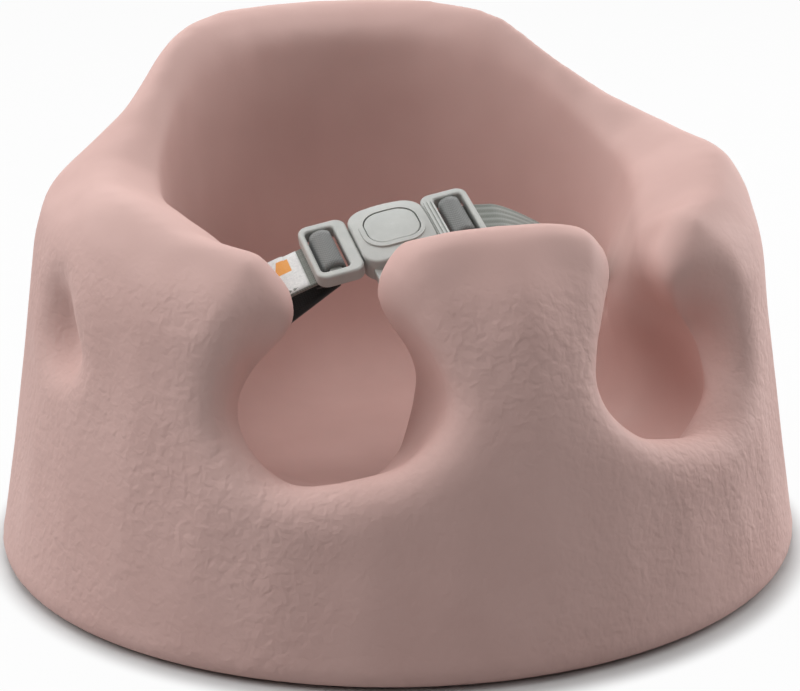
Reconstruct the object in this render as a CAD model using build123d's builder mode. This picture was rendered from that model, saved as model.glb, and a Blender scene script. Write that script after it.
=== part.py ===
from build123d import *
import os
from math import atan2, cos, degrees, hypot, radians, sin, sqrt

# Baby floor seat: a one-piece foam bucket with a pommel between two leg openings,
# and a three-point lap belt that closes on a push-button buckle.
# Millimetres, +Z up, origin at the middle of the base, the child faces -Y.

# ---- foam seat ----
base_width = 381.5
base_depth = 367.5
wall_taper = 0.148  # how far the outer wall leans in per millimetre of height
base_edge_radius = 9.0
pan_height = 42.0  # floor of the bowl
pan_core_radius = 40.0
bowl_radius = 46.0  # the bowl's wall turns into its floor over this height
inner_wall_lean = 6.0
rim_step = 12.0  # degrees between two sections of the rim

# ---- leg openings, one each side of the pommel ----
neck_half_width = 38.0  # the pommel where the openings are widest
mouth_inner_x = 48.0
mouth_outer_inset = 98.75  # from the base's side edge
mouth_flare = 10.0  # the mouth widens by this towards the rim, on each side
opening_outer_inset = 76.75
opening_floor_z = 78.0
opening_belly_z = 104.0
opening_mouth_z = 154.0
leg_plane_inset = 55.75  # from the base's front edge to where the widths above are taken
leg_reach = 16.25  # the cut runs this far past the base's edge
leg_run = 73.0  # and this far behind that plane
leg_fan = 0.42  # the outer side of a leg channel moves out by this share on its way forward
leg_floor_slope = 0.30
leg_belly_slope = 0.10
lip_radius = 18.0

# ---- grip recess in each side wall ----
recess_diameter = 46.0
recess_depth = 9.4
recess_y = -40.0
recess_z = 130.0
recess_tilt = 14.0
recess_lip_radius = 4.0
recess_floor_radius = 9.0

# ---- webbing and its way through the foam ----
webbing_width = 25.0
crotch_webbing_width = 20.0
webbing_thickness = 1.6
webbing_gap = 0.3  # between two layers, and to what they pass
slot_clearance = 1.6
strap_exit_height = 113.0
strap_exit_inset = 88.75  # from the base's side edge to where the strap leaves the foam
strap_y = -20.0
strap_pocket_inset = 56.75
crotch_exit_y = -70.0
crotch_exit_height = 54.0
pocket_length = 46.0
pocket_width = 27.0
pocket_depth = 14.0
anchor_clearance = 1.5
anchor_thickness = 3.0
anchor_corner = 4.0
stop_length = 10.0  # sewn fold that keeps the webbing from pulling through its plate
stop_thickness = 4.5

# ---- buckle housing ----
buckle_center = Vector(-25.6, -62.0, 160.3)
belt_direction = Vector(0.977, -0.084, 0.190)
buckle_normal = Vector(-0.208, -0.362, 0.907)
housing_length = 34.0  # along the belt
housing_width = 37.0
housing_corner = 8.5
cover_height = 7.2
cover_roof = 3.0
cover_pocket = 2.6
cover_edge = 1.2
back_height = 8.2
back_edge = 2.4
shell_wall = 1.4
dome_radius = 70.0
lug_length = 9.0
lug_width = 28.0
lug_thickness = 5.0
lug_corner = 3.0
lug_edge = 0.8
lug_drop = 0.8
lug_overlap = 4.0
lug_bar = 2.6
lug_slot_width = 4.0

# ---- release button and latch ----
button_length = 23.5
button_width = 20.5
button_corner = 8.0
button_travel = 1.8
button_clearance = 0.35
button_rise = 0.6  # above the cover's dome
button_edge = 0.5
ring_width = 2.4
ring_height = 0.9
flange_width = 1.2
flange_thickness = 0.9
post_size = 2.6
latch_gap = 0.7
latch_thickness = 1.2
latch_length = 22.0
latch_width = 33.0
latch_foot = 1.6
catch_length = 3.0
catch_width = 7.0
spring_wire = 0.7
spring_coil_radius = 3.6
spring_turns = 2.5
spring_boss = 1.0
spring_ease = 0.03

# ---- tongues and their strap adjusters ----
tongue_gap = 0.4
blade_width = 15.0
blade_thickness = 1.8
blade_reach = 12.0
blade_tip = 2.4
blade_root = 1.0
blade_clearance = 0.3
adjuster_length = 21.5
adjuster_width = 37.0
adjuster_thickness = 6.4
adjuster_corner = 5.0
adjuster_edge = 1.2
window_length = 13.0
window_width = 28.8
window_corner = 2.0
outer_frame = 2.7
bar_length = 5.4  # along the belt
bar_thickness = 3.0
rib_count = 3
rib_height = 0.7
rib_width = 0.9
rib_pitch = 1.7
rib_inset = 1.4

# ---- straps at the adjusters ----
bend_radius = 1.2
strap_reach = 9.0
strap_pitch = 0.25  # how steeply the strap drops away from the frame
tail_extra = 3.0
tail_drop = 3.0
label_length = 8.5
label_width = 24.0
label_thickness = 0.5
loop_reach = 24.0  # the crotch strap is doubled this far below the buckle
bend_pull = 0.7  # how far a strap holds its direction at each end, as a share of its run
ribbon_steps = 4

# ---- worked out from the sizes above ----
leg_plane_y = leg_plane_inset - base_depth / 2
leg_front_y = -leg_reach - base_depth / 2
leg_back_y = leg_plane_y + leg_run
opening_outer_x = base_width / 2 - opening_outer_inset
mouth_outer_x = base_width / 2 - mouth_outer_inset
strap_exit_x = base_width / 2 - strap_exit_inset
strap_pocket_x = base_width / 2 - strap_pocket_inset
buckle_plane = Plane(origin=buckle_center, x_dir=belt_direction, z_dir=buckle_normal)
buckle_axis = Axis(buckle_center, buckle_plane.z_dir)
belt_axis = Axis(buckle_center, buckle_plane.x_dir)
slot_length = webbing_width + 2 * slot_clearance
crotch_slot_length = crotch_webbing_width + 2 * slot_clearance
slot_width = webbing_thickness + 2 * slot_clearance
strap_lean = (strap_pocket_x - strap_exit_x) / (strap_exit_height - pocket_depth)
anchor_slot_width = slot_width + anchor_thickness * strap_lean
tongue_start = housing_length / 2 + tongue_gap
blade_window_x = tongue_start - blade_reach + blade_tip + blade_clearance + catch_length / 2
window_x = tongue_start + adjuster_length - outer_frame - window_length / 2
parts_folder = "parts"
os.makedirs(parts_folder, exist_ok=True)


def write(part, name):
    part.label = name
    export_step(part, f"{parts_folder}/{name}.step")


# ---------------------------------------------------------------- rim sections
# Each rim station: angle from the front, outer wall top z and four points, as (inset from the base's edge, z):
# outer shoulder, crest, inner shoulder, top of the inner wall.
rim_stations = [
    (0, 138, 34, 163, 56, 174, 75, 166, 83, 140),
    (34, 137, 35, 162, 56, 173, 76, 165, 84, 138),
    (52, 137, 33, 161, 50, 170, 71, 160, 81, 134),
    (72, 146, 30, 171, 48, 183, 70, 172, 80, 145),
    (90, 149, 31, 175, 53, 189, 72, 180, 81, 153),
    (112, 152, 38, 182, 68, 204, 80, 199, 84, 174),
    (125, 157, 44, 190, 70, 222, 80, 216, 85, 188),
    (140, 164, 44, 204, 68, 233, 80, 226, 86, 196),
    (160, 176, 38, 213, 63, 236, 78, 227, 84, 197),
    (180, 178, 37, 214, 61, 236, 76, 227, 83, 197),
]


def rim_at(angle):
    """The rim station at any angle, on curves that never overshoot the stations beside it."""
    angle = min(abs(angle), 360 - abs(angle))
    turns = [station[0] for station in rim_stations]
    last = len(turns) - 1
    place = max(i for i in range(last) if turns[i] <= angle)
    step = turns[place + 1] - turns[place]
    t = (angle - turns[place]) / step

    def slope(i, column):
        if i in (0, last):
            return 0.0
        before = rim_stations[i][column] - rim_stations[i - 1][column]
        after = rim_stations[i + 1][column] - rim_stations[i][column]
        before = before / (turns[i] - turns[i - 1])
        after = after / (turns[i + 1] - turns[i])
        return 2 * before * after / (before + after) if before * after > 0 else 0.0

    values = []
    for column in range(1, len(rim_stations[0])):
        low, high = rim_stations[place][column], rim_stations[place + 1][column]
        leave, arrive = slope(place, column) * step, slope(place + 1, column) * step
        rise = (3 - 2 * t) * t * t
        values.append(
            low + (high - low) * rise + leave * t * (1 - t) ** 2 - arrive * t * t * (1 - t)
        )
    return values


def base_radius(angle):
    half_width, half_depth = base_width / 2, base_depth / 2
    turn = radians(angle)
    return half_width * half_depth / hypot(half_depth * sin(turn), half_width * cos(turn))


def rim_section(angle):
    """Closed radial section of the seat's wall, from the core of the pan to the outer wall."""
    wall_z, *rim = rim_at(angle)
    foot = base_radius(angle)
    shoulder, crest, inner, inner_top = (Vector(foot - inset, z) for inset, z in zip(rim[::2], rim[1::2]))
    outward = Vector(sin(radians(angle)), -cos(radians(angle)), 0)
    plane = Plane(origin=(0, 0, 0), x_dir=outward, z_dir=outward.cross(Vector(0, 0, 1)))
    edge = base_edge_radius
    wall_lean = (-wall_taper, 1)
    inner_lean = (-inner_wall_lean / bowl_radius / 2, -1)
    with BuildSketch(plane) as section:
        with BuildLine():
            base = Line((pan_core_radius, 0), (foot - edge, 0))
            turn = Spline(base @ 1, (foot - wall_taper * edge, edge), tangents=[(1, 0), wall_lean])
            wall = Line(turn @ 1, (foot - wall_taper * wall_z, wall_z))
            top = Edge.make_spline(
                [wall @ 1, shoulder, crest, inner, inner_top],
                tangents=[Vector(*wall_lean), Vector(*inner_lean)],
                parameters=[0, 0.25, 0.52, 0.72, 1],
            )
            add(top)
            bowl_top = (inner_top.X - inner_wall_lean, pan_height + bowl_radius)
            bowl_foot = (inner_top.X - inner_wall_lean - bowl_radius, pan_height)
            inside = Line(top @ 1, bowl_top)
            bowl = Spline(inside @ 1, bowl_foot, tangents=[inner_lean, (-1, 0)])
            pan = Line(bowl @ 1, (pan_core_radius, pan_height))
            Line(pan @ 1, base @ 0)
        make_face()
    return section.sketch.face()


# ---------------------------------------------------------------- leg openings
def leg_outline(y):
    """Keyhole of a leg channel where it crosses the plane at y."""
    ahead = leg_plane_y - y
    fan = ahead * leg_fan
    belly = opening_belly_z + ahead * leg_belly_slope
    floor = opening_floor_z + ahead * leg_floor_slope
    inner, outer = neck_half_width, opening_outer_x + fan
    mouth_inner, mouth_outer = mouth_inner_x, mouth_outer_x + fan
    mouth_top, above_rim = 215, 300
    plane = Plane(origin=(0, y, 0), x_dir=(1, 0, 0), z_dir=(0, -1, 0))
    with BuildSketch(plane) as outline:
        with BuildLine():
            keyhole = Spline(
                (mouth_inner - mouth_flare, mouth_top),
                (mouth_inner, opening_mouth_z),
                (inner, belly),
                ((inner + outer) / 2, floor),
                (outer, belly),
                (mouth_outer, opening_mouth_z),
                (mouth_outer + mouth_flare, mouth_top),
            )
            rise = Line(keyhole @ 1, (mouth_outer + mouth_flare, above_rim))
            across = Line(rise @ 1, (mouth_inner - mouth_flare, above_rim))
            Line(across @ 1, keyhole @ 0)
        make_face()
    return outline.sketch.face()


with BuildPart() as leg_cutter:
    loft(sections=[leg_outline(leg_back_y), leg_outline(leg_front_y)], ruled=True)

# ---------------------------------------------------------------- places in the foam
anchor_length = pocket_length - 2 * anchor_clearance
anchor_width = pocket_width - 2 * anchor_clearance


def strap_slot_plane(side):
    """Across a side strap's slot at its pocket's roof; side is 1 on the right, -1 on the left."""
    rise = Vector(-side * strap_lean, 0, 1)
    return Plane(origin=(side * strap_pocket_x, strap_y, pocket_depth), x_dir=(0, 1, 0), z_dir=rise)


recess_across = base_width / 2 * sqrt(1 - (2 * recess_y / base_depth) ** 2)
recess_angle = degrees(atan2(recess_across, -recess_y))
wall_at_recess = base_radius(recess_angle) * sin(radians(recess_angle)) - wall_taper * recess_z
recess_plane = Plane(
    origin=(wall_at_recess - recess_depth, recess_y, recess_z),
    x_dir=(0, 1, 0),
    z_dir=(cos(radians(recess_tilt)), -recess_y / recess_z, -sin(radians(recess_tilt))),
)

with BuildPart() as wall_ring:
    first_turn, last_turn = -4 * rim_step, 180 + 4 * rim_step
    turn_count = round((last_turn - first_turn) / rim_step)
    loft(sections=[rim_section(first_turn + rim_step * i) for i in range(turn_count + 1)])

with BuildPart() as seat_body:
    add(wall_ring.part)
    split(bisect_by=Plane.YZ, keep=Keep.TOP)
    add(leg_cutter.part, mode=Mode.SUBTRACT)
    key_face = leg_cutter.faces().sort_by(SortBy.AREA)[-1]
    lips = ShapeList()
    for face in seat_body.faces():
        if all(key_face.distance_to(face.position_at(u, u)) < 1e-3 for u in (0.3, 0.5)):
            lips += face.edges()
    lips = lips.filter_by(lambda edge: sum(other.is_same(edge) for other in lips) == 1)
    fillet(lips, lip_radius)
    with BuildSketch(recess_plane):
        Circle(recess_diameter / 2)
    extrude(amount=recess_diameter, mode=Mode.SUBTRACT)
    recess_rings = seat_body.edges(Select.LAST).group_by(Axis(recess_plane.origin, recess_plane.z_dir))
    fillet(recess_rings[-1], recess_lip_radius)
    floor_ring = seat_body.edges().filter_by(GeomType.CIRCLE).sort_by_distance(recess_plane.origin)[0]
    fillet(floor_ring, recess_floor_radius)
    mirror(about=Plane.YZ)
    Cylinder(pan_core_radius + 0.5, pan_height, align=(Align.CENTER, Align.CENTER, Align.MIN))
    for side in (-1, 1):
        with BuildSketch(strap_slot_plane(side).offset(-pocket_depth)):
            SlotOverall(slot_length, slot_width)
        extrude(amount=2 * strap_exit_height, mode=Mode.SUBTRACT)
    with BuildSketch():
        with Locations((-strap_pocket_x, strap_y), (strap_pocket_x, strap_y)):
            RectangleRounded(pocket_width, pocket_length, anchor_corner)
        with Locations((0, crotch_exit_y)):
            RectangleRounded(pocket_length, pocket_width, anchor_corner)
    extrude(amount=pocket_depth, mode=Mode.SUBTRACT)
    with BuildSketch():
        with Locations((0, crotch_exit_y)):
            SlotOverall(crotch_slot_length, slot_width)
    extrude(amount=2 * pan_height, mode=Mode.SUBTRACT)
write(seat_body.part, "seat_body")


# ---------------------------------------------------------------- anchor plates
def anchor_plate(place, along, slot, opening_width):
    """Slotted plate that bears against the roof of its pocket."""
    low_face = Plane(origin=(*place, pocket_depth - anchor_thickness), x_dir=along, z_dir=(0, 0, 1))
    with BuildPart() as plate:
        with BuildSketch(low_face):
            RectangleRounded(anchor_length, anchor_width, anchor_corner - anchor_clearance)
            SlotOverall(slot, opening_width, mode=Mode.SUBTRACT)
        extrude(amount=anchor_thickness)
        fillet(plate.edges().group_by(Axis.Z)[0], anchor_thickness / 4)
    return plate.part


write(anchor_plate((-strap_pocket_x, strap_y), (0, 1, 0), slot_length, anchor_slot_width), "left_anchor")
write(anchor_plate((strap_pocket_x, strap_y), (0, 1, 0), slot_length, anchor_slot_width), "right_anchor")
write(anchor_plate((0, crotch_exit_y), (1, 0, 0), crotch_slot_length, slot_width), "crotch_anchor")


# ---------------------------------------------------------------- buckle
def squircle(length, width, corner):
    return RectangleRounded(length, width, min(corner, 0.49 * min(length, width)))


pocket_top = cover_height - cover_roof
button_low = blade_thickness / 2 + button_travel + blade_clearance
latch_top = -blade_thickness / 2 - latch_gap
latch_low = latch_top - latch_thickness
inner_floor = shell_wall - back_height
dome = buckle_plane.offset(cover_height - dome_radius)
post_y = blade_width / 2 + 2 * blade_clearance + post_size / 2
lug_y = -housing_width / 2 - lug_length / 2
lug_slot_y = -housing_width / 2 - lug_length + lug_bar + lug_slot_width / 2

with BuildPart() as button_ring:
    with BuildSketch(buckle_plane.offset(pocket_top)):
        squircle(button_length + 2 * ring_width, button_width + 2 * ring_width, button_corner + ring_width)
    extrude(amount=cover_height)
    with Locations(dome):
        Sphere(dome_radius + ring_height, mode=Mode.INTERSECT)

with BuildPart() as buckle_cover:
    with BuildSketch(buckle_plane):
        RectangleRounded(housing_length, housing_width, housing_corner)
    extrude(amount=cover_height)
    with Locations(dome):
        Sphere(dome_radius, mode=Mode.INTERSECT)
    fillet(buckle_cover.faces().filter_by(GeomType.SPHERE).edges(), cover_edge)
    add(button_ring.part)
    with BuildSketch(buckle_plane):
        RectangleRounded(
            housing_length - 4 * shell_wall, housing_width - 4 * shell_wall, housing_corner - 2 * shell_wall
        )
    extrude(amount=cover_pocket, mode=Mode.SUBTRACT)
    with BuildSketch(buckle_plane):
        squircle(
            button_length + 2 * (flange_width + button_clearance),
            button_width + 2 * (flange_width + button_clearance),
            button_corner + flange_width,
        )
    extrude(amount=pocket_top, mode=Mode.SUBTRACT)
    with BuildSketch(buckle_plane):
        squircle(
            button_length + 2 * button_clearance, button_width + 2 * button_clearance, button_corner
        )
    extrude(amount=2 * cover_height, mode=Mode.SUBTRACT)
    with BuildSketch(buckle_plane):
        Rectangle(2 * housing_length, blade_width + 2 * blade_clearance)
    extrude(amount=blade_thickness / 2 + blade_clearance, mode=Mode.SUBTRACT)
write(buckle_cover.part, "buckle_cover")

with BuildPart() as strap_lug:
    with BuildSketch(buckle_plane.offset(-lug_thickness - lug_drop)):
        with Locations((0, lug_y + lug_overlap / 2)):
            RectangleRounded(lug_width, lug_length + lug_overlap, lug_corner)
        with Locations((0, lug_slot_y)):
            SlotOverall(crotch_slot_length, lug_slot_width, mode=Mode.SUBTRACT)
    extrude(amount=lug_thickness)
    lug_rims = strap_lug.edges().group_by(buckle_axis)
    fillet(lug_rims[0] + lug_rims[-1], lug_edge)

with BuildPart() as buckle_back:
    with BuildSketch(buckle_plane):
        RectangleRounded(housing_length, housing_width, housing_corner)
    extrude(amount=-back_height)
    fillet(buckle_back.edges().group_by(buckle_axis)[0], back_edge)
    add(strap_lug.part)
    with BuildSketch(buckle_plane):
        RectangleRounded(
            housing_length - 2 * shell_wall, housing_width - 2 * shell_wall, housing_corner - shell_wall
        )
    extrude(amount=inner_floor, mode=Mode.SUBTRACT)
    with BuildSketch(buckle_plane):
        Rectangle(2 * housing_length, blade_width + 2 * blade_clearance)
    extrude(amount=-blade_thickness / 2 - blade_clearance, mode=Mode.SUBTRACT)
    with BuildSketch(buckle_plane.offset(inner_floor)):
        Circle(spring_coil_radius - spring_wire)
    extrude(amount=spring_boss)
write(buckle_back.part, "buckle_back")

with BuildPart() as release_button:
    with BuildSketch(buckle_plane.offset(button_low)):
        squircle(button_length, button_width, button_corner)
    extrude(amount=2 * cover_height)
    with Locations(dome):
        Sphere(dome_radius + button_rise, mode=Mode.INTERSECT)
    fillet(release_button.faces().filter_by(GeomType.SPHERE).edges(), button_edge)
    with BuildSketch(buckle_plane.offset(button_low)):
        squircle(button_length + 2 * flange_width, button_width + 2 * flange_width, button_corner + flange_width)
    extrude(amount=flange_thickness)
    with BuildSketch(buckle_plane.offset(latch_top)):
        with Locations((0, post_y), (0, -post_y)):
            RectangleRounded(2 * post_size, post_size, post_size / 3)
    extrude(amount=button_low - latch_top)
write(release_button.part, "release_button")

with BuildPart() as latch_leaf:
    with BuildSketch(buckle_plane.offset(latch_low)):
        RectangleRounded(latch_length, latch_width, latch_thickness)
    extrude(amount=latch_thickness)
    with BuildSketch(buckle_plane.offset(inner_floor)):
        with Locations((0, latch_width / 2 - latch_foot), (0, latch_foot - latch_width / 2)):
            Rectangle(latch_length - 2 * latch_thickness, latch_foot)
    extrude(amount=latch_low - inner_floor)
    with BuildSketch(buckle_plane.offset(latch_top)):
        with Locations((-blade_window_x, 0), (blade_window_x, 0)):
            Rectangle(catch_length, catch_width)
    extrude(amount=latch_gap + blade_thickness - blade_clearance / 2)
    lead_in = latch_leaf.edges().group_by(buckle_axis)[-1].filter_by(Axis(buckle_center, buckle_plane.y_dir))
    chamfer([lead_in.sort_by(belt_axis)[0], lead_in.sort_by(belt_axis)[-1]], blade_thickness / 2)
write(latch_leaf.part, "latch_leaf")

with BuildPart() as button_spring:
    with BuildLine() as coil:
        Helix(
            pitch=(latch_low - inner_floor - spring_wire) / spring_turns,
            height=latch_low - inner_floor - spring_wire,
            radius=spring_coil_radius,
            center=buckle_plane.offset(inner_floor + spring_wire / 2).origin,
            direction=buckle_plane.z_dir,
        )
    with BuildSketch(Plane(origin=coil.line @ 0, z_dir=coil.line % 0)):
        Circle(spring_wire / 2 - spring_ease)
    sweep(is_frenet=True)
write(button_spring.part, "button_spring")


# ---------------------------------------------------------------- tongues
def tongue(side, ribs):
    """Blade with a catch window, carried on a frame whose bar holds and adjusts the webbing."""
    with BuildPart() as piece:
        with BuildSketch(buckle_plane.offset(-adjuster_thickness / 2)):
            with Locations((side * (tongue_start + adjuster_length / 2), 0)):
                RectangleRounded(adjuster_length, adjuster_width, adjuster_corner)
            with Locations((side * window_x, 0)):
                RectangleRounded(window_length, window_width, window_corner, mode=Mode.SUBTRACT)
        extrude(amount=adjuster_thickness)
        rims = piece.edges().group_by(buckle_axis)
        fillet(rims[0] + rims[-1], adjuster_edge)
        with BuildSketch(buckle_plane.offset(-bar_thickness / 2)):
            with Locations((side * window_x, 0)):
                Rectangle(bar_length, window_width + outer_frame)
        extrude(amount=bar_thickness)
        with BuildSketch(buckle_plane.offset(-blade_thickness / 2)):
            with Locations((side * (tongue_start + (blade_root - blade_reach) / 2), 0)):
                Rectangle(blade_reach + blade_root, blade_width)
            with Locations((side * blade_window_x, 0)):
                Rectangle(
                    catch_length + 2 * blade_clearance, catch_width + 2 * blade_clearance, mode=Mode.SUBTRACT
                )
        extrude(amount=blade_thickness)
        for i in range(ribs):
            with BuildSketch(buckle_plane.offset(adjuster_thickness / 2 - adjuster_edge)):
                with Locations((side * (tongue_start + rib_inset + i * rib_pitch), 0)):
                    SlotOverall(adjuster_width - 2 * adjuster_corner, rib_width, rotation=90)
            extrude(amount=adjuster_edge + rib_height)
    return piece.part


write(tongue(-1, 0), "left_tongue")
write(tongue(1, rib_count), "right_tongue")


# ---------------------------------------------------------------- webbing
def outward_plane(side):
    """Upright plane along the belt: x points away from the buckle, y out of its face."""
    along = buckle_plane.x_dir * side
    return Plane(origin=buckle_center, x_dir=along, z_dir=along.cross(buckle_plane.z_dir))


strap_low = -adjuster_thickness / 2 - webbing_gap
hairpin = bar_length / 2 + webbing_gap + webbing_thickness / 2
over_bar = bar_thickness / 2 + webbing_gap + webbing_thickness / 2
strap_end_x = tongue_start + adjuster_length + strap_reach
strap_end_h = strap_low - webbing_thickness / 2 - strap_reach * strap_pitch


def adjuster_strap(side):
    """Webbing that comes in under the frame, turns over the bar and leaves as the tail beneath."""
    layer = webbing_thickness + webbing_gap
    under = strap_low - webbing_thickness / 2
    wall_x = window_x + window_length / 2
    with BuildPart() as strap:
        with BuildSketch(outward_plane(side)):
            with BuildLine() as route:
                FilletPolyline(
                    (strap_end_x, strap_end_h),
                    (wall_x + outer_frame, under),
                    (window_x + hairpin + bend_radius, under),
                    (window_x + hairpin, over_bar),
                    (window_x - hairpin, over_bar),
                    (window_x - hairpin, under - layer),
                    (wall_x + outer_frame, under - layer - 0.1),
                    (strap_end_x + tail_extra, strap_end_h - layer - tail_drop),
                    radius=bend_radius,
                )
            trace(line_width=webbing_thickness)
        extrude(amount=webbing_width / 2, both=True)
    return strap.part


write(adjuster_strap(-1), "left_strap_tail")
write(adjuster_strap(1), "right_strap_tail")

with BuildPart() as strap_label:
    lift = (webbing_thickness + label_thickness + webbing_gap) / 2
    with BuildSketch(outward_plane(-1)):
        with BuildLine():
            Line(
                (strap_end_x - label_length, strap_end_h + lift + label_length * strap_pitch),
                (strap_end_x, strap_end_h + lift),
            )
        trace(line_width=label_thickness)
    extrude(amount=label_width / 2, both=True)
write(strap_label.part, "strap_label")


def webbing(start, leave, across, outlet, down, across_end, width, depth):
    """Flat strap from start, round to its outlet in the foam, straight down and folded to a stop."""
    pull = (outlet - start).length * bend_pull
    route = Edge.make_spline(
        [start, outlet], tangents=[leave * pull, down * pull], parameters=[0, 1], scale=False
    )
    sections = []
    for i in range(ribbon_steps + 1):
        share = i / ribbon_steps
        run = route.tangent_at(share)
        side_dir = across * (1 - share) + across_end * share
        side_dir = side_dir - run * side_dir.dot(run)
        with BuildSketch(Plane(origin=route.position_at(share), x_dir=side_dir, z_dir=run)) as section:
            Rectangle(width, webbing_thickness)
        sections.append(section.sketch.face())
    with BuildPart() as strap:
        loft(sections=sections)
        extrude(sections[-1], amount=depth, dir=down)
        foot = outlet + down * depth
        with BuildSketch(Plane(origin=foot, x_dir=across_end, z_dir=(0, 0, 1))):
            Rectangle(width, stop_length)
        extrude(amount=-stop_thickness)
    return strap.part


for name, side in (("left_webbing", -1), ("right_webbing", 1)):
    along = outward_plane(side)
    lean = Vector(side * strap_lean, 0, -1)
    write(
        webbing(
            start=along.from_local_coords(Vector(strap_end_x + webbing_gap, strap_end_h)),
            leave=(along.x_dir - along.y_dir * strap_pitch).normalized(),
            across=buckle_plane.y_dir,
            outlet=Vector(side * strap_exit_x, strap_y, strap_exit_height),
            down=lean.normalized(),
            across_end=Vector(0, 1, 0),
            width=webbing_width,
            depth=(strap_exit_height - pocket_depth + anchor_thickness) * lean.length,
        ),
        name,
    )

# ---------------------------------------------------------------- crotch strap
front_plane = Plane(
    origin=buckle_center, x_dir=-buckle_plane.y_dir, z_dir=buckle_plane.z_dir.cross(buckle_plane.y_dir)
)
bar_x = housing_width / 2 + lug_length - lug_bar / 2
bar_z = -lug_drop - lug_thickness / 2
wrap_x = lug_bar / 2 + webbing_gap + webbing_thickness / 2
wrap_z = bar_z + lug_thickness / 2 + webbing_gap + webbing_thickness / 2
join_gap = (webbing_thickness + webbing_gap) / 2
join_x = bar_x + loop_reach * 0.1
with BuildPart() as crotch_loop:
    with BuildSketch(front_plane):
        with BuildLine():
            FilletPolyline(
                (join_x - join_gap, wrap_z - loop_reach),
                (bar_x - wrap_x, bar_z - lug_thickness),
                (bar_x - wrap_x, wrap_z),
                (bar_x + wrap_x, wrap_z),
                (bar_x + wrap_x, bar_z - lug_thickness),
                (join_x + join_gap, wrap_z - loop_reach),
                radius=bend_radius,
            )
        trace(line_width=webbing_thickness)
    extrude(amount=crotch_webbing_width / 2, both=True)
write(crotch_loop.part, "crotch_loop")

crotch_start = front_plane.from_local_coords(Vector(join_x, wrap_z - loop_reach - 3 * webbing_gap))
crotch_outlet = Vector(0, crotch_exit_y, crotch_exit_height)
write(
    webbing(
        start=crotch_start,
        leave=(crotch_outlet - crotch_start).normalized(),
        across=buckle_plane.x_dir,
        outlet=crotch_outlet,
        down=Vector(0, 0, -1),
        across_end=Vector(1, 0, 0),
        width=crotch_webbing_width,
        depth=crotch_exit_height - pocket_depth + anchor_thickness,
    ),
    "crotch_webbing",
)
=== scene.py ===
import math

import bpy
import numpy as np
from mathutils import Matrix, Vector


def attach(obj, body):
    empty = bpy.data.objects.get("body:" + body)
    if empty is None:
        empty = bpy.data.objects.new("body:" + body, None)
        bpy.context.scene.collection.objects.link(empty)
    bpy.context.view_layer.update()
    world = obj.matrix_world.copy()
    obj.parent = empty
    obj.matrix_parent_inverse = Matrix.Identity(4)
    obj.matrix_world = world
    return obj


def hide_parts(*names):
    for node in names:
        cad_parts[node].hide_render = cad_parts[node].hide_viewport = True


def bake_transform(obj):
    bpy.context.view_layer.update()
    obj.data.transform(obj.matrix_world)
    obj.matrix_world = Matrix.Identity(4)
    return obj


# Baby floor seat: moulded foam bucket, lap belt with its buckle. Metres, +Z up, the child faces -Y.

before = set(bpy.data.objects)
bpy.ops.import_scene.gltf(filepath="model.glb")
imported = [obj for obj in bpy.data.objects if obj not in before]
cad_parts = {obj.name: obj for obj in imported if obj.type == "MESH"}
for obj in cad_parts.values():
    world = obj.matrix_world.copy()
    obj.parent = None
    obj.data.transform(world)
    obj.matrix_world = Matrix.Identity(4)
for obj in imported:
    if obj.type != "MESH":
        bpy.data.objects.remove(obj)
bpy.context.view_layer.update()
bpy.ops.object.select_all(action="DESELECT")
scene = bpy.context.scene
scene.view_settings.view_transform = "Standard"

cameraView = {
    "turn": -20.0,  # degrees round the seat
    "rise": 16.65,  # degrees above the floor
    "away": 1.0,
    "target": (0.0, 0.0, 0.110),
    "lens": 95.31,
    "sensor": 36.0,
    "shift": (0.0006, -0.0524),
}


def setCamera(view):
    turn, rise = math.radians(view["turn"]), math.radians(view["rise"])
    back = Vector((math.sin(turn) * math.cos(rise), -math.cos(turn) * math.cos(rise), math.sin(rise)))
    bpy.ops.object.camera_add(location=Vector(view["target"]) + back * view["away"])
    camera = bpy.context.object
    camera.rotation_euler = (-back).to_track_quat("-Z", "Y").to_euler()
    camera.data.sensor_width = view["sensor"]
    camera.data.lens = view["lens"]
    camera.data.shift_x, camera.data.shift_y = view["shift"]
    scene.camera = camera


setCamera(cameraView)
print("camera set")


# shader maths
class Wire:  # one output socket; its operators add Math nodes
    def __init__(self, finish, socket):
        self.finish, self.socket = finish, socket

    def maths(self, kind, *others):
        return self.finish.add("Math", {"operation": kind}, dict(enumerate((self, *others))))

    def __add__(self, other):
        return self.maths("ADD", other)

    def __sub__(self, other):
        return self.maths("SUBTRACT", other)

    def __mul__(self, other):
        return self.maths("MULTIPLY", other)

    def __truediv__(self, other):
        return self.maths("DIVIDE", other)

    def __rsub__(self, other):
        return self.finish.add("Math", {"operation": "SUBTRACT"}, {0: other, 1: self})

    __radd__ = __add__
    __rmul__ = __mul__


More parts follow.
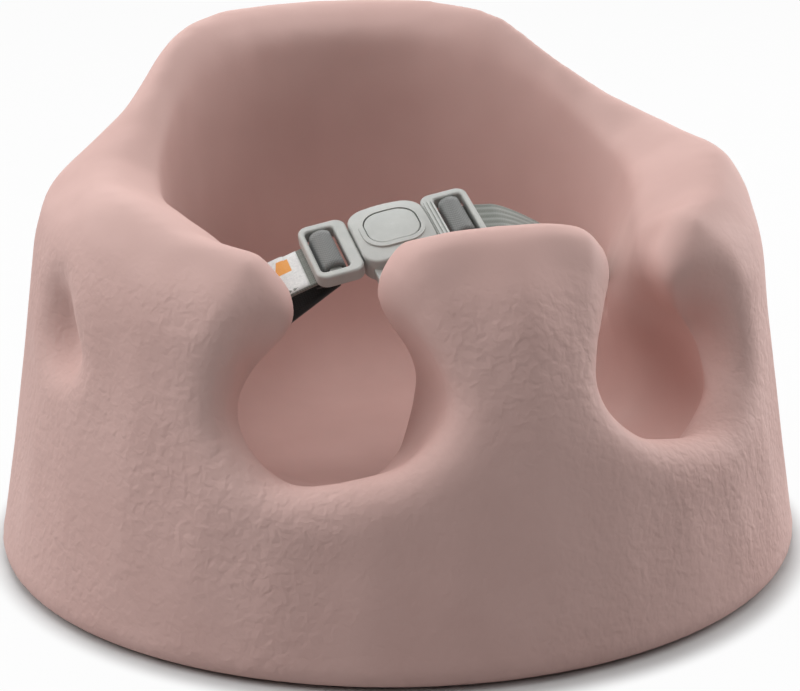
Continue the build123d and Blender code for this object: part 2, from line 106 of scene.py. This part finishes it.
class Finish:  # the nodes of one look, in a new material or in the tree that is given
    def __init__(self, name, tree=None):
        if tree is None:
            self.material = bpy.data.materials.new(name)
            self.material.use_nodes = True
            tree = self.material.node_tree
        self.tree = tree
        self.tree.nodes.clear()

    def add(self, kind, settings=None, sockets=None, output=0):
        node = self.tree.nodes.new("ShaderNode" + kind)
        for key, value in (settings or {}).items():
            setattr(node, key, value)
        for key, value in (sockets or {}).items():
            if isinstance(value, Wire):
                self.tree.links.new(value.socket, node.inputs[key])
                continue
            if isinstance(value, tuple) and len(node.inputs[key].default_value) == 4:  # a colour
                value = (*value, 1.0)
            node.inputs[key].default_value = value
        return Wire(self, node.outputs[output])

    def place(self, kind="Object"):
        return self.add("TexCoord", output=kind)

    def axes(self, vector):
        node = self.add("SeparateXYZ", None, {0: vector}).socket.node
        return [Wire(self, socket) for socket in node.outputs]

    def noise(self, where, scale, detail=2.0, distortion=0.0):
        sockets = {"Vector": where, "Scale": scale, "Detail": detail, "Distortion": distortion}
        return self.add("TexNoise", None, sockets, "Fac")

    def step(self, value, low, high):  # 0 below low, 1 above high, soft between
        sockets = {"Value": value, "From Min": low, "From Max": high}
        return self.add("MapRange", {"interpolation_type": "SMOOTHSTEP"}, sockets)

    def span(self, value, low, high):  # a noise's 0.3 to 0.7 spread from low to high
        sockets = {"Value": value, "From Min": 0.3, "From Max": 0.7, "To Min": low, "To Max": high}
        return self.add("MapRange", None, sockets)

    def blend(self, share, first, second):
        return self.add("Mix", {"data_type": "RGBA"}, {0: share, 6: first, 7: second}, 2)

    def bump(self, height, distance):
        return self.add("Bump", None, {"Height": height, "Distance": distance, "Strength": 1.0})

    def surface(self, **values):
        names = {
            "colour": "Base Color",
            "roughness": "Roughness",
            "metallic": "Metallic",
            "normal": "Normal",
            "gloss": "Specular IOR Level",
            "sheen": "Sheen Weight",
            "sheenRoughness": "Sheen Roughness",
        }
        return self.add("BsdfPrincipled", None, {names[key]: value for key, value in values.items()})

    def show(self, shader, kind="Material"):
        output = self.tree.nodes.new("ShaderNodeOutput" + kind)
        self.tree.links.new(shader.socket, output.inputs[0])

    def shade(self, **values):
        self.show(self.surface(**values))
        return self.material


def tint(red, green, blue):  # 0 to 255 as on a screen, to the shader's linear numbers
    values = (channel / 255 for channel in (red, green, blue))
    return tuple(v / 12.92 if v < 0.04045 else ((v + 0.055) / 1.055) ** 2.4 for v in values)


# mesh helpers
def pointsOf(piece):
    points = np.zeros(len(piece.data.vertices) * 3)
    piece.data.vertices.foreach_get("co", points)
    return points.reshape(-1, 3)


def setPoints(piece, points):
    piece.data.vertices.foreach_set("co", points.ravel())
    piece.data.update()


def applyModifier(piece, kind, **settings):
    modifier = piece.modifiers.new(kind.lower(), kind)
    for key, value in settings.items():
        setattr(modifier, key, value)
    bpy.context.view_layer.objects.active = piece
    bpy.ops.object.modifier_apply(modifier=modifier.name)


def smoothShaded(piece):
    piece.data.polygons.foreach_set("use_smooth", np.ones(len(piece.data.polygons), bool))
    piece.data.update()


# moulded foam: matt pink skin, leather-like pebbles on the outer wall below the arms
foamLook = {
    "light": tint(217, 183, 176),
    "dark": tint(206, 171, 164),
    "clouds": 14.0,
    "roughness": (0.56, 0.66),
    "gloss": 0.08,
    "pebbles": 235.0,
    "bumpDepth": 0.0008,
    "patches": 11.0,  # where the pebbles are strong and where they fade
    "patchEdge": (0.38, 0.62),
    "patchShare": 0.6,
    "skin": 45.0,
    "skinShare": 0.35,
    "grain": 1200.0,
    "grainShare": 0.02,
    "wall": (0.1907, 0.1837),  # half the outer wall's width and depth at the floor
    "taper": 0.148,
    "pebbledFrom": (0.80, 0.95),  # shares of the way from the middle to the outer wall
    "smoothAbove": (0.145, 0.175),
}


def foamFinish(look):
    foam = Finish("mouldedFoam")
    where = foam.place()
    x, y, z = foam.axes(where)
    halfWidth, halfDepth = (half - z * look["taper"] for half in look["wall"])
    across, along = x / halfWidth, y / halfDepth
    outward = (across * across + along * along).maths("SQRT")  # 1 on the outer wall
    pebbled = foam.step(outward, *look["pebbledFrom"]) * (1 - foam.step(z, *look["smoothAbove"]))
    patches = foam.step(foam.noise(where, look["patches"]), *look["patchEdge"])
    patches = patches * look["patchShare"] + (1 - look["patchShare"])
    cloud = foam.noise(where, look["clouds"], 3.0)
    pebbles = foam.noise(where, look["pebbles"], 1.5, 0.3)
    skin = foam.noise(where, look["skin"])
    grain = foam.noise(where, look["grain"])
    height = pebbles * pebbled * patches + skin * look["skinShare"] + grain * look["grainShare"]
    return foam.shade(
        colour=foam.blend(foam.span(cloud, 0.0, 1.0), look["dark"], look["light"]),
        roughness=foam.span(skin, *look["roughness"]),
        normal=foam.bump(height, look["bumpDepth"]),
        gloss=look["gloss"],
    )


foamSeat = {
    "voxel": 0.0028,
    "weld": 0.00001,
    # place on the right half, how far it reaches, and how far the skin moves there
    "pushes": [
        ((0.095, -0.122, 0.158), 0.030, (-0.008, 0.002, -0.003)),
        ((0.118, -0.128, 0.112), 0.030, (-0.007, 0.000, 0.000)),
        ((0.036, -0.136, 0.108), 0.028, (-0.006, 0.000, 0.000)),
        ((0.056, -0.133, 0.086), 0.018, (-0.006, 0.000, -0.004)),
        ((0.098, -0.126, 0.086), 0.018, (0.006, 0.000, -0.004)),
        ((0.050, -0.124, 0.172), 0.020, (-0.002, 0.000, -0.006)),
        ((0.050, -0.124, 0.150), 0.020, (0.004, 0.000, 0.000)),
        ((0.022, -0.126, 0.165), 0.040, (0.000, 0.004, 0.0022)),
        ((0.030, -0.150, 0.150), 0.036, (-0.002, 0.007, 0.0015)),
        ((0.086, -0.098, 0.140), 0.024, (-0.005, 0.000, 0.000)),
        ((0.090, -0.100, 0.156), 0.020, (-0.003, 0.000, 0.000)),
        ((0.098, -0.082, 0.098), 0.028, (0.012, 0.000, -0.002)),
        ((0.086, -0.086, 0.078), 0.026, (0.016, 0.000, -0.012)),
        ((0.064, -0.090, 0.066), 0.026, (0.000, 0.000, -0.015)),
        ((0.050, -0.100, 0.080), 0.022, (-0.010, 0.000, -0.010)),
        ((0.037, -0.108, 0.104), 0.022, (-0.003, 0.000, 0.000)),
        ((0.075, -0.136, 0.078), 0.028, (0.000, 0.000, 0.003)),
        ((0.106, -0.040, 0.120), 0.040, (-0.011, 0.000, 0.000)),
        ((0.084, -0.078, 0.128), 0.020, (0.004, 0.003, 0.000)),
        ((0.088, -0.074, 0.148), 0.022, (0.006, 0.000, 0.000)),
        ((0.072, -0.116, 0.071), 0.018, (0.000, 0.000, -0.009)),
        ((0.097, -0.112, 0.080), 0.016, (-0.003, 0.000, 0.004)),
        ((0.050, -0.112, 0.076), 0.016, (0.003, 0.000, 0.005)),
        ((0.047, -0.116, 0.142), 0.020, (0.004, 0.000, 0.000)),
        ((0.164, -0.040, 0.128), 0.021, (0.008, 0.000, 0.000)),
        ((0.115, 0.082, 0.202), 0.034, (0.000, 0.000, -0.007)),
        ((0.140, 0.010, 0.188), 0.045, (0.000, 0.000, -0.0045)),
        ((0.106, -0.111, 0.138), 0.013, (0.000, 0.007, 0.000)),
        ((0.107, -0.111, 0.121), 0.014, (0.000, 0.011, 0.000)),
        ((0.110, -0.112, 0.102), 0.014, (0.000, 0.010, 0.000)),
        ((0.093, -0.109, 0.142), 0.013, (0.000, -0.006, 0.000)),
        ((0.044, -0.120, 0.163), 0.014, (0.003, 0.000, 0.003)),
        ((0.031, -0.150, 0.148), 0.020, (0.001, 0.002, 0.000)),
        ((0.030, -0.158, 0.128), 0.020, (0.000, 0.0023, 0.000)),
        ((0.029, -0.162, 0.108), 0.018, (0.000, 0.0018, 0.000)),
        ((0.042, -0.140, 0.135), 0.010, (0.000, -0.002, 0.000)),
        ((0.026, -0.148, 0.149), 0.022, (0.000, 0.003, -0.001)),
        ((0.094, -0.062, 0.086), 0.026, (0.007, 0.000, 0.000)),
        ((0.087, -0.060, 0.068), 0.020, (0.004, 0.000, -0.004)),
        ((0.100, -0.085, 0.163), 0.020, (0.000, 0.000, -0.0015)),
    ],
    "fade": 1.2,  # how fast a push dies away
    "smoothing": 10,
    "smoothShare": 0.5,
    # the grip recesses get more smoothing, in rings that fade towards their rim
    "recess": {"place": (0.170, -0.040, 0.128), "reach": 0.042, "passes": 90, "rings": 8, "ring": 0.06},
    # the lowest edge is spread again after the smoothing
    "foot": {"height": 0.014, "share": 0.007},
}


def copyOfNode(node, name, weld):
    piece = bpy.data.objects.new(name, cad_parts[node].data.copy())
    scene.collection.objects.link(piece)
    piece.data.materials.clear()
    bpy.ops.object.select_all(action="DESELECT")
    piece.select_set(True)
    bpy.context.view_layer.objects.active = piece
    bpy.ops.object.mode_set(mode="EDIT")
    bpy.ops.mesh.select_all(action="SELECT")
    bpy.ops.mesh.remove_doubles(threshold=weld)
    bpy.ops.object.mode_set(mode="OBJECT")
    return piece


def pushed(points, pushes, fade):  # soft moves, the same on both halves
    moved = points.copy()
    for centre, reach, move in pushes:
        for side in (1, -1):
            away = (points - np.array(centre) * (side, 1, 1)) / reach
            weight = np.exp(-(away**2).sum(1) * fade)
            moved += weight[:, None] * np.array(move) * (side, 1, 1)
    return moved


def recessGroup(piece, recess):  # full in the middle, none past the reach
    group = piece.vertex_groups.new(name="recess")
    points = pointsOf(piece)
    points[:, 0] = np.abs(points[:, 0])
    away = np.linalg.norm(points - recess["place"], axis=1) / recess["reach"]
    for ring in range(1, recess["rings"] + 1):
        inside = np.flatnonzero(away < 1.0 - ring * recess["ring"])
        group.add(inside.tolist(), ring / recess["rings"], "REPLACE")
    return group.name


def spreadFoot(piece, foot):
    points = pointsOf(piece)
    points[:, :2] *= 1 + foot["share"] * np.clip(1 - points[:, 2:] / foot["height"], 0, 1)
    setPoints(piece, points)


seat = copyOfNode("seat_body", "foamSeat", foamSeat["weld"])
applyModifier(seat, "REMESH", mode="VOXEL", voxel_size=foamSeat["voxel"])
setPoints(seat, pushed(pointsOf(seat), foamSeat["pushes"], foamSeat["fade"]))
applyModifier(seat, "SMOOTH", factor=foamSeat["smoothShare"], iterations=foamSeat["smoothing"])
recess = recessGroup(seat, foamSeat["recess"])
applyModifier(
    seat, "SMOOTH", factor=foamSeat["smoothShare"], iterations=foamSeat["recess"]["passes"], vertex_group=recess
)
spreadFoot(seat, foamSeat["foot"])
smoothShaded(seat)
seat.data.materials.append(foamFinish(foamLook))
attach(seat, "seat")
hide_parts("seat_body")
print("foam seat made:", len(seat.data.polygons), "faces")

# rigid pieces that keep their solids
plasticLook = {"clouds": 120.0, "spread": (-0.04, 0.05), "grain": 2600.0, "grainDepth": 0.00004, "gloss": 0.45}
steelLook = {
    "light": tint(205, 206, 208),
    "dark": tint(170, 172, 175),
    "brushing": (300.0, 4000.0, 300.0),
    "roughness": (0.28, 0.42),
    "depth": 0.00003,
}


def plasticFinish(name, light, dark, roughness):
    plastic = Finish(name)
    where = plastic.place()
    cloud = plastic.noise(where, plasticLook["clouds"], 3.0)
    grain = plastic.noise(where, plasticLook["grain"])
    smoother, rougher = plasticLook["spread"]
    return plastic.shade(
        colour=plastic.blend(plastic.span(cloud, 0.0, 1.0), dark, light),
        roughness=plastic.span(cloud, roughness + smoother, roughness + rougher),
        normal=plastic.bump(grain, plasticLook["grainDepth"]),
        gloss=plasticLook["gloss"],
    )


def steelFinish(look):
    steel = Finish("brushedSteel")
    stretched = steel.add("Mapping", None, {"Vector": steel.place(), "Scale": look["brushing"]})
    lines = steel.noise(stretched, 1.0, 3.0)
    return steel.shade(
        colour=steel.blend(steel.span(lines, 0.0, 1.0), look["dark"], look["light"]),
        metallic=1.0,
        roughness=steel.span(lines, *look["roughness"]),
        normal=steel.bump(lines, look["depth"]),
    )


buckleGrey = plasticFinish("buckleGrey", tint(183, 184, 180), tint(172, 174, 170), 0.38)
plateGrey = plasticFinish("plateGrey", tint(86, 88, 90), tint(70, 72, 74), 0.55)
nodeFinish = {
    "buckle_cover": buckleGrey,
    "buckle_back": buckleGrey,
    "left_tongue": buckleGrey,
    "right_tongue": buckleGrey,
    "release_button": plasticFinish("buttonGrey", tint(182, 184, 180), tint(171, 173, 169), 0.36),
    "latch_leaf": plasticFinish("latchGrey", tint(120, 122, 122), tint(104, 106, 106), 0.45),
    "button_spring": steelFinish(steelLook),
    "left_anchor": plateGrey,
    "right_anchor": plateGrey,
    "crotch_anchor": plateGrey,
}
for node, finish in nodeFinish.items():
    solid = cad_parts[node]
    solid.data.materials.clear()
    solid.data.materials.append(finish)
print("rigid pieces dressed")

# the belt's own directions: along it, across it, out of the buckle's face
beltPlace = {
    "centre": (-0.0256, -0.0620, 0.1603),
    "face": (-0.208, -0.362, 0.907),
    "along": (0.977, -0.084, 0.190),
}
buckleCentre = Vector(beltPlace["centre"])
buckleFace = Vector(beltPlace["face"]).normalized()
beltAlong = Vector(beltPlace["along"])
beltAlong = (beltAlong - buckleFace * beltAlong.dot(buckleFace)).normalized()
beltAcross = buckleFace.cross(beltAlong)
halves = ((-1, "left"), (1, "right"))


def along(side, far, high, across=0.0):  # a point by its place along the belt from the buckle
    return buckleCentre + beltAlong * side * far + buckleFace * high + beltAcross * across


# webbing
weaveLook = {
    "picksAlong": 0.0011,
    "picksAcross": 0.0016,
    "ribbedWidth": 0.025,  # the ribs share this width
    "fuzz": 1800.0,
    "depth": 0.00035,
    "roughness": (0.72, 0.88),
    "sheen": 0.25,
    "sheenRoughness": 0.5,
    "dark": (tint(18, 20, 19), tint(28, 30, 29)),  # painted shade: near-black where the grey webbing lies in shadow under the strap
    "paintedShadeEdge": 0.002,
}


def webbingFinish(name, light, dark, ribs, paintedShadeFrom=None):
    webbing = Finish(name)
    across, along, _ = webbing.axes(webbing.place("UV"))  # metres across and along the strap
    rib = (across * (math.tau * ribs / weaveLook["ribbedWidth"])).maths("COSINE") * 0.5 + 0.5
    pickAlong = (along * (math.tau / weaveLook["picksAlong"])).maths("SINE")
    pickAcross = (across * (math.tau / weaveLook["picksAcross"])).maths("SINE")
    weave = pickAlong * pickAcross * 0.5 + 0.5
    fuzz = webbing.noise(webbing.place(), weaveLook["fuzz"])
    colour = webbing.blend(weave * 0.55 + fuzz * 0.35, dark, light)
    # past the given place along the strap the grey weave turns to painted shade, near-black
    if paintedShadeFrom:
        edge = weaveLook["paintedShadeEdge"]
        inPaintedShade = webbing.step(along, paintedShadeFrom - edge, paintedShadeFrom + edge)
        colour = webbing.blend(inPaintedShade, colour, webbing.blend(fuzz, *weaveLook["dark"]))
    return webbing.shade(
        colour=colour,
        roughness=webbing.span(fuzz, *weaveLook["roughness"]),
        normal=webbing.bump(rib * 0.7 + weave * 0.3 + fuzz * 0.2, weaveLook["depth"]),
        sheen=weaveLook["sheen"],
        sheenRoughness=weaveLook["sheenRoughness"],
    )


def hermite(start, leave, end, arrive, steps):  # a smooth line with its directions at both ends
    share = np.linspace(0, 1, steps)[:, None]
    square, cube = share**2, share**3
    start, leave, end, arrive = (np.array(v)[None, :] for v in (start, leave, end, arrive))
    line = (2 * cube - 3 * square + 1) * start + (3 * square - 2 * cube) * end
    return line + (cube - 2 * square + share) * leave + (cube - square) * arrive


def evenly(line, gap):  # the same line with points about gap apart
    lengths = np.linalg.norm(np.diff(line, axis=0), axis=1)
    places = np.concatenate([[0], np.cumsum(lengths)])
    wanted = np.linspace(0, places[-1], max(2, round(places[-1] / gap) + 1))
    return np.stack([np.interp(wanted, places, line[:, k]) for k in range(3)], 1), wanted


def bent(corners, bend, steps=6):  # the same line with its corners rounded
    line = [corners[0]]
    for before, corner, after in zip(corners, corners[1:], corners[2:]):
        back, onward = before - corner, after - corner
        cut = min(bend, back.length / 2, onward.length / 2)
        first, last = corner + back.normalized() * cut, corner + onward.normalized() * cut
        for i in range(steps + 1):
            t = i / steps
            line.append(first * (1 - t) ** 2 + corner * (2 * t * (1 - t)) + last * t**2)
    return line + [corners[-1]]


def ribbon(name, line, acrossStart, acrossEnd, band):
    line, places = evenly(np.array(line), band["gap"])
    steps, lanes = len(line) - 1, band["ribs"] * 8
    bpy.ops.object.select_all(action="DESELECT")
    bpy.ops.mesh.primitive_grid_add(x_subdivisions=lanes, y_subdivisions=steps, size=2.0)
    strap = bpy.context.object
    strap.name = name
    flat = pointsOf(strap)
    run = np.gradient(line, axis=0)
    run /= np.linalg.norm(run, axis=1)[:, None]
    share = (places / places[-1])[:, None]
    turn = np.array(acrossStart) * (1 - share) + np.array(acrossEnd) * share
    turn -= run * (turn * run).sum(1)[:, None]
    turn /= np.linalg.norm(turn, axis=1)[:, None]
    face = np.cross(turn, run)
    row = np.clip(np.rint((flat[:, 1] + 1) / 2 * steps).astype(int), 0, steps)
    side = flat[:, 0]
    rise = np.cos(side * np.pi * band["ribs"]) * -band["ribHeight"] / 2
    setPoints(strap, line[row] + turn[row] * (side * band["width"] / 2)[:, None] + face[row] * rise[:, None])
    corners = np.zeros(len(strap.data.loops), int)
    strap.data.loops.foreach_get("vertex_index", corners)
    spread = np.stack([side[corners] * band["width"] / 2, places[row[corners]]], 1)
    strap.data.uv_layers.active.data.foreach_set("uv", spread.ravel())
    applyModifier(strap, "SOLIDIFY", thickness=band["thickness"], offset=0.0)
    smoothShaded(strap)
    return strap


def dressStrap(piece, finish, node=None):
    piece.data.materials.append(finish)
    if node:
        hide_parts(node)


# side straps: from each frame's window, out over the arm's inside, down to the plate under the seat
beltStraps = {
    "width": 0.025,
    "thickness": 0.0016,
    "ribs": 6,
    "ribHeight": 0.00016,
    "gap": 0.0012,
    "start": 0.0335,  # from the buckle's centre, inside each frame's window
    "frameEnd": 0.0389,
    "runUnder": -0.0043,  # how far under the buckle's middle the strap passes
    "reach": 0.009,  # past the frame it first goes straight, and drops a little
    "drop": 0.00225,
    "ease": 0.006,
    "pull": 0.35,
    "exit": (0.102, -0.020, 0.113),
    "pocket": (0.134, -0.020, 0.011),
    "bendsFrom": 0.045,  # a place along the belt from the buckle's centre
    "bendsTo": (0.095, -0.030, 0.125),
}


def onSide(side, place):
    return Vector((side * place[0], place[1], place[2]))


def beltRun(side):
    belt, under = beltStraps, beltStraps["runUnder"]
    start, frameEdge = along(side, belt["start"], under), along(side, belt["frameEnd"], under)
    end = along(side, belt["frameEnd"] + belt["reach"], under - belt["drop"])
    exitPoint, pocket = onSide(side, belt["exit"]), onSide(side, belt["pocket"])
    down = (pocket - exitPoint).normalized()
    leave = (beltAlong * side - buckleFace * (belt["drop"] / belt["reach"])).normalized()
    pull = (exitPoint - end).length * belt["pull"]
    inFrame = hermite(start, beltAlong * side * belt["ease"], frameEdge, leave * belt["ease"], 6)
    toExit = hermite(end, leave * pull, exitPoint, down * pull, 40)
    return np.concatenate([inFrame, [end], toExit[1:], [pocket]])


def hangFromBuckle(piece, side):
    start, end = along(side, beltStraps["bendsFrom"], 0), onSide(side, beltStraps["bendsTo"])
    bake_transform(piece)


strapGrey = webbingFinish("strapGrey", tint(142, 146, 139), tint(98, 102, 96), beltStraps["ribs"])
for side, word in halves:
    strap = ribbon(f"{word}Strap", beltRun(side), beltAcross, (0, 1, 0), beltStraps)
    dressStrap(strap, strapGrey, f"{word}_webbing")
    hangFromBuckle(strap, side)
print("side straps made")

# where each strap turns round its frame's bar: along the belt, out of the buckle's face
barWraps = {
    "width": 0.024,
    "thickness": 0.0016,
    "ribs": 1,
    "ribHeight": 0.0,
    "gap": 0.0006,
    "route": [
        (0.0346, -0.0043), (0.0336, 0.0022), (0.0297, 0.0038), (0.0257, 0.0022),
        (0.0257, -0.0062), (0.0389, -0.0068),
    ],
    "bend": 0.0016,
    # from here along the wrap the grey webbing is painted near-black as shade under the strap
    "paintedShadeFrom": 0.027,
    "tail": [(0.0285, -0.0081), (0.0600, -0.0262)],  # the left strap's loose end
}

# the wraps' own grey webbing, then painted near-black shade further along
wrapGreyAndPaintedShade = webbingFinish("wrapGreyAndPaintedShade", tint(134, 135, 133), tint(88, 90, 89), 0, barWraps["paintedShadeFrom"])
for side, word in halves:
    route = bent([along(side, far, high) for far, high in barWraps["route"]], barWraps["bend"])
    wrap = ribbon(f"{word}BarWrap", route, beltAcross, beltAcross, barWraps)
    dressStrap(wrap, wrapGreyAndPaintedShade, f"{word}_strap_tail")
    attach(wrap, f"{word}_tongue")

# the left strap's loose end is the same grey webbing; its near-black colour is painted shade under the strap
# and label
tailPaintedShade = webbingFinish("tailPaintedShade", tint(28, 30, 29), tint(16, 18, 17), 0)
tailRoute = [along(-1, far, high) for far, high in barWraps["tail"]]
tail = ribbon("leftTail", tailRoute, beltAcross, beltAcross, barWraps)
dressStrap(tail, tailPaintedShade)
hangFromBuckle(tail, -1)
print("strap ends made")

# the sewn-on label of the left strap: woven satin, one plain square of colour
strapLabel = {
    "width": 0.0243,
    "thickness": 0.0003,
    "ribs": 1,
    "ribHeight": 0.0,
    "gap": 0.0012,
    "start": 0.0072,  # from the strap's start
    "length": 0.024,
    "lift": 0.00098,
    "finest": 0.0006,
    "white": tint(226, 226, 224),
    "worn": tint(206, 207, 206),
    "orange": tint(222, 150, 62),
    "patch": (0.0012, 0.0095, 0.0045, 0.0135),  # across from and to, along from and to
    "patchEdge": 0.0004,
    "fuzz": 900.0,
    "threads": 0.0005,
    "depth": 0.00012,
    "roughness": (0.42, 0.58),
}


def labelFinish(look):
    label = Finish("labelWhite")
    across, along, _ = label.axes(label.place("UV"))
    fuzz = label.noise(label.place(), look["fuzz"], 3.0)
    threads = (across * (math.tau / look["threads"])).maths("SINE") * 0.5 + 0.5
    paper = label.blend(label.span(fuzz, 0.0, 1.0), look["white"], look["worn"])
    low, high, near, far = look["patch"]
    edge = look["patchEdge"]
    inside = label.step(across, low, low + edge) * (1 - label.step(across, high, high + edge))
    inside = inside * label.step(along, near, near + edge) * (1 - label.step(along, far, far + edge))
    return label.shade(
        colour=label.blend(inside, paper, look["orange"]),
        roughness=label.span(fuzz, *look["roughness"]),
        normal=label.bump(threads * 0.5 + fuzz, look["depth"]),
    )


def lifted(line, across, height):  # the line moved out of the strap's face
    run = np.gradient(line, axis=0)
    face = np.cross(np.array(across)[None, :], run)
    return line + face / np.linalg.norm(face, axis=1)[:, None] * height


line, places = evenly(beltRun(-1), strapLabel["finest"])
part = (places > strapLabel["start"]) & (places < strapLabel["start"] + strapLabel["length"])
labelRoute = lifted(line, beltAcross, strapLabel["lift"])[part]
label = ribbon("strapLabel", labelRoute, beltAcross, beltAcross, strapLabel)
dressStrap(label, labelFinish(strapLabel), "strap_label")
hangFromBuckle(label, -1)
print("label made")

# crotch strap: a loop round the buckle's bar, then down to its plate
crotchWeave = {"width": 0.020, "thickness": 0.0016, "ribs": 5, "ribHeight": 0.00016}
crotchLoop = crotchWeave | {
    "gap": 0.0006,
    "route": [
        (0.02765, -0.0237), (0.0238, -0.0083), (0.0238, 0.0003),
        (0.0286, 0.0003), (0.0286, -0.0083), (0.02955, -0.0237),
    ],
    "bend": 0.0014,
}
crotchStrap = crotchWeave | {
    "gap": 0.0012,
    "start": (0.0286, -0.0246),
    "leave": (0.045, -0.008, -0.050),
    "outlet": (0.0, -0.070, 0.054),
    "arrive": (0.0, 0.0, -0.060),
    "plate": (0.0, -0.070, 0.011),
}


def belowBuckle(near, high):  # a point in front of the buckle and out of its face
    return along(1, 0, high, -near)


crotchGrey = webbingFinish("crotchGrey", tint(84, 87, 84), tint(56, 59, 57), crotchWeave["ribs"])
route = bent([belowBuckle(near, high) for near, high in crotchLoop["route"]], crotchLoop["bend"])
loop = ribbon("crotchLoop", route, beltAlong, beltAlong, crotchLoop)
dressStrap(loop, crotchGrey, "crotch_loop")
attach(loop, "buckle")

start, outlet = belowBuckle(*crotchStrap["start"]), crotchStrap["outlet"]
line = hermite(start, crotchStrap["leave"], outlet, crotchStrap["arrive"], 40)
route = np.concatenate([line, [crotchStrap["plate"]]])
strap = ribbon("crotchStrap", route, beltAlong, (1, 0, 0), crotchStrap)
dressStrap(strap, crotchGrey, "crotch_webbing")
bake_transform(strap)
print("crotch strap made")

# lamps, floor and surroundings
studio = {
    "aim": (0.0, 0.0, 0.10),
    "lampWidth": 1.1,
    "lamps": {  # place and watts
        "leftLamp": ((-1.40, 0.45, 1.05), 16.0),
        "rightLamp": ((1.50, 0.30, 0.60), 20.0),
        "topLamp": ((-0.15, -0.05, 1.60), 10.5),
        "frontLamp": ((-0.10, -1.00, 1.35), 3.5),
        "backLamp": ((0.00, 1.00, 1.30), 5.0),
    },
    "glow": 0.06,  # light from all round
    "white": (1.0, 1.0, 1.0),  # what the camera sees behind the seat
    "floorSize": 8.0,
    "floorColours": ((0.56, 0.56, 0.56), (0.61, 0.61, 0.61)),
    "floorGrain": 40.0,
    "whiteFrom": (0.186, 0.200),  # past this far from the middle the floor is nearly white
    "whiteShare": 0.96,
}


def areaLamp(name, place, power):
    bpy.ops.object.light_add(type="AREA", location=place)
    lamp = bpy.context.object
    lamp.name = name
    lamp.rotation_euler = (Vector(studio["aim"]) - Vector(place)).to_track_quat("-Z", "Y").to_euler()
    lamp.data.size = studio["lampWidth"]
    lamp.data.energy = power


for name, (place, power) in studio["lamps"].items():
    areaLamp(name, place, power)


def isSeen(finish):  # 1 for rays from the camera, a mirror or glass
    rays = finish.add("LightPath").socket.node
    ways = [Wire(finish, rays.outputs[f"Is {way} Ray"]) for way in ("Camera", "Glossy", "Transmission")]
    return ways[0].maths("MAXIMUM", ways[1]).maths("MAXIMUM", ways[2])


def floorFinish():  # pale paper: white to the camera but for the seat's own shadow
    paper = Finish("palePaper")
    where = paper.place()
    grain = paper.noise(where, studio["floorGrain"], 3.0)
    colour = paper.blend(paper.span(grain, 0.0, 1.0), *studio["floorColours"])
    shaded = paper.surface(colour=colour, roughness=0.9, gloss=0.1)
    away = paper.add("VectorMath", {"operation": "LENGTH"}, {0: where}, "Value")
    white = paper.add("Emission", None, {"Color": studio["white"], "Strength": 1.0})
    share = isSeen(paper) * (paper.step(away, *studio["whiteFrom"]) * studio["whiteShare"])
    paper.show(paper.add("MixShader", None, {0: share, 1: shaded, 2: white}))
    return paper.material


bpy.ops.mesh.primitive_plane_add(size=studio["floorSize"], location=(0.0, 0.0, 0.0))
floor = bpy.context.object
floor.name = "floor"
floor.data.materials.append(floorFinish())

world = bpy.data.worlds.new("studio")
scene.world = world
world.use_nodes = True
room = Finish("room", world.node_tree)
glow = room.add("Background", None, {"Strength": studio["glow"]})
white = room.add("Background", None, {"Color": studio["white"], "Strength": 1.0})
room.show(room.add("MixShader", None, {0: isSeen(room), 1: glow, 2: white}), "World")
print("studio made")
